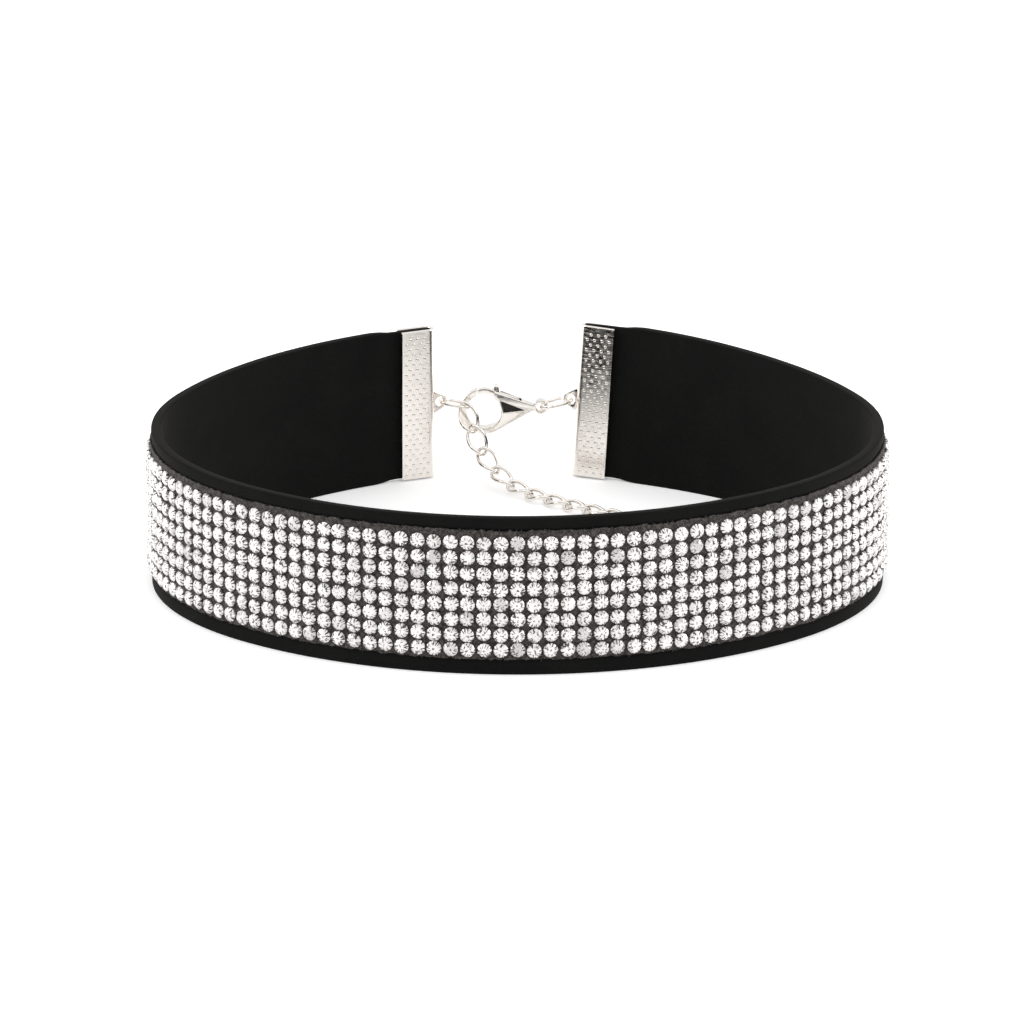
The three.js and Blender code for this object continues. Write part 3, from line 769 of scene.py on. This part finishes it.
for i, vert in enumerate(window):
    bm.edges.new((vert, window[i - 1]))
thicken_outlines(bm, CHEEK_THICKNESS, CLASP_ROUNDING)
for vert in bm.verts:
    vert.co.y *= clasp_thickness(vert.co.x)
bm = cut_block(bm, SLOT_LOW, SLOT_HIGH)
bmesh.ops.transform(bm, matrix=place_clasp, verts=bm.verts)
claw = new_piece("claw", bm, nickel, "necklace")
round_off(claw)
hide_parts("clasp_body")

# Bare casting: zinc that has gone dull where the plating did not reach. Its colour is darkened nearly to black as
# painted shade deep in the recess.
tarnish_and_painted_shade, tree = new_material("tarnished_cast_zinc_and_painted_shade")
place_in = add_node(tree, "TexCoord").outputs["Object"]
grain = add_node(tree, "TexNoise", {"Vector": place_in, "Scale": 1 / 0.0003, "Detail": 3.0})
shade = add_node(tree, "ValToRGB", {"Fac": grain.outputs["Fac"]})
shade.color_ramp.elements[0].color = linear("#151312")
shade.color_ramp.elements[1].color = linear("#3b3633")
pits = add_node(tree, "Bump", {"Height": grain.outputs["Fac"], "Strength": 0.3, "Distance": 0.00003})
zinc_surface = add_node(tree, "BsdfPrincipled", {
    "Base Color": shade.outputs["Color"], "Metallic": 0.5, "Roughness": 0.6, "Normal": pits.outputs["Normal"]})
add_node(tree, "OutputMaterial", {"Surface": zinc_surface.outputs[0]})

# Dark plates for the recess floors, inside the window through the claw: bare zinc and painted shade.
middle_x, middle_z = (sum(corner[axis] for corner in WINDOW) / len(WINDOW) for axis in (0, 1))
bm = bmesh.new()
for side in (-1, 1):
    floor_plate = bmesh.new()
    corners = [floor_plate.verts.new((middle_x + (x - middle_x) * RECESS_SPREAD, 0,
                                      middle_z + (z - middle_z) * RECESS_SPREAD)) for x, z in WINDOW]
    for i, vert in enumerate(corners):
        floor_plate.edges.new((vert, corners[i - 1]))
    thicken_outlines(floor_plate, RECESS_SHEET, RECESS_SHEET / 4)
    join_into(bm, floor_plate, Matrix.Translation((0, side * (RECESS_FLOOR + RECESS_SHEET / 2), 0)))
bmesh.ops.transform(bm, matrix=place_clasp, verts=bm.verts)
recesses = new_piece("claw_recesses", bm, tarnish_and_painted_shade, "necklace")
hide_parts("clasp_body")


# ---- Lever of the claw --------------------------------------------------------------------------
# The cast lever that closes the hook: a curved gate, a tongue that turns on the rivet between the
# cheeks, and a nub for the thumb.
GATE_OUTER = 0.0032
GATE_INNER = 0.0025
GATE_REACH = 0.0055  # from the pivot to the lever's tip
GATE_ROOT = math.radians(62)
GATE_INNER_ROOT = math.radians(30)
HUB_RADIUS = 0.00055
GATE_THICKNESS = 0.0011
TONGUE_THICKNESS = 0.0008
LEVER_ROUNDING = 0.0002
NUB_AT = (-0.006, 0.0034)
NUB_RADIUS = 0.00045

bm = bmesh.new()
gate_tip = angle_at_reach(GATE_OUTER, GATE_REACH)
gate_tip_inside = angle_at_reach(GATE_INNER, GATE_REACH)
tip = on_circle(HOOK_AT, GATE_OUTER, gate_tip)
tip_vert = bm.verts.new((tip[0], 0, tip[1]))
root = draw_arc(bm, tip_vert, HOOK_AT, GATE_ROOT - gate_tip)
hub_top = draw_line(bm, root, on_circle(PIVOT, HUB_RADIUS, math.radians(75)))
hub_bottom = draw_arc(bm, hub_top, PIVOT, -math.radians(185))
inner_root = draw_line(bm, hub_bottom, on_circle(HOOK_AT, GATE_INNER, GATE_INNER_ROOT))
inner_tip = draw_arc(bm, inner_root, HOOK_AT, gate_tip_inside - GATE_INNER_ROOT)
bm.edges.new((inner_tip, tip_vert))
thicken_outlines(bm, GATE_THICKNESS, LEVER_ROUNDING)
for vert in bm.verts:
    in_slot = smoothstep(vert.co.x, SHOULDER - 0.0002, SHOULDER)
    vert.co.y *= 1 - (1 - TONGUE_THICKNESS / GATE_THICKNESS) * in_slot
nub = bmesh.new()
bmesh.ops.create_cone(nub, cap_ends=True, segments=20, radius1=NUB_RADIUS * 1.25, radius2=NUB_RADIUS, depth=0.0013,
                      matrix=Matrix.Translation((NUB_AT[0], 0, NUB_AT[1] - 0.0004)))
top_rim = [edge for edge in nub.edges if all(vert.co.z > NUB_AT[1] for vert in edge.verts)]
bmesh.ops.bevel(nub, geom=top_rim, offset=NUB_RADIUS * 0.7, offset_type="OFFSET", segments=4, profile=0.5,
                affect="EDGES", material=-1, clamp_overlap=True)
join_into(bm, nub)
bmesh.ops.transform(bm, matrix=place_clasp, verts=bm.verts)
lever = new_piece("claw_lever", bm, nickel, "lever")
round_off(lever)
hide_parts("clasp_lever")


# ---- Extension chain ----------------------------------------------------------------------------
# Curb links bent from the same wire and twisted a quarter turn so that they lie flat. The chain
# hangs from the left jump ring and lies across the inside of the ring.
LINK_COUNT = 15
LINK_HALF_LENGTH = 0.00223
LINK_HALF_WIDTH = 0.0012
LINK_TWIST = math.radians(45)
LINK_STEPS = 44
HANGING_HEADING = -100
LYING_HEADING = -39
LINKS_THAT_TURN = 5

for number in range(LINK_COUNT):
    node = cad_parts[f"chain_link_{number + 1:02d}"]
    points = np.array([vert.co for vert in node.data.vertices])
    middle = points.mean(axis=0)
    along = Vector(np.linalg.svd(points - middle, full_matrices=False)[2][0])
    turned = min(number / LINKS_THAT_TURN, 1)
    heading = math.radians(HANGING_HEADING + (LYING_HEADING - HANGING_HEADING) * turned)
    across = Vector((-math.sin(heading), math.cos(heading), 0))
    across = (across - along * across.dot(along)).normalized()
    bm = bmesh.new()
    section = wire_section(bm, Matrix.Translation((LINK_HALF_WIDTH, 0, 0)) @ Matrix.Rotation(math.pi / 2, 4, "X"))
    bmesh.ops.spin(bm, geom=section, cent=(0, 0, 0), axis=(0, 0, 1), dvec=(0, 0, 0), angle=2 * math.pi,
                   steps=LINK_STEPS, use_merge=True, use_duplicate=False)
    bmesh.ops.recalc_face_normals(bm, faces=bm.faces)
    for vert in bm.verts:
        share = math.cos(math.atan2(vert.co.y, vert.co.x))
        vert.co.x += (LINK_HALF_LENGTH - LINK_HALF_WIDTH) * share
        vert.co = Matrix.Rotation(-LINK_TWIST * share, 3, "X") @ vert.co
    seat = Matrix((along, across, along.cross(across))).transposed().to_4x4()
    bmesh.ops.transform(bm, matrix=Matrix.Translation(Vector(middle)) @ seat, verts=bm.verts)
    link = new_piece(f"link_{number + 1:02d}", bm, nickel, "necklace")
    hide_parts(node.name)
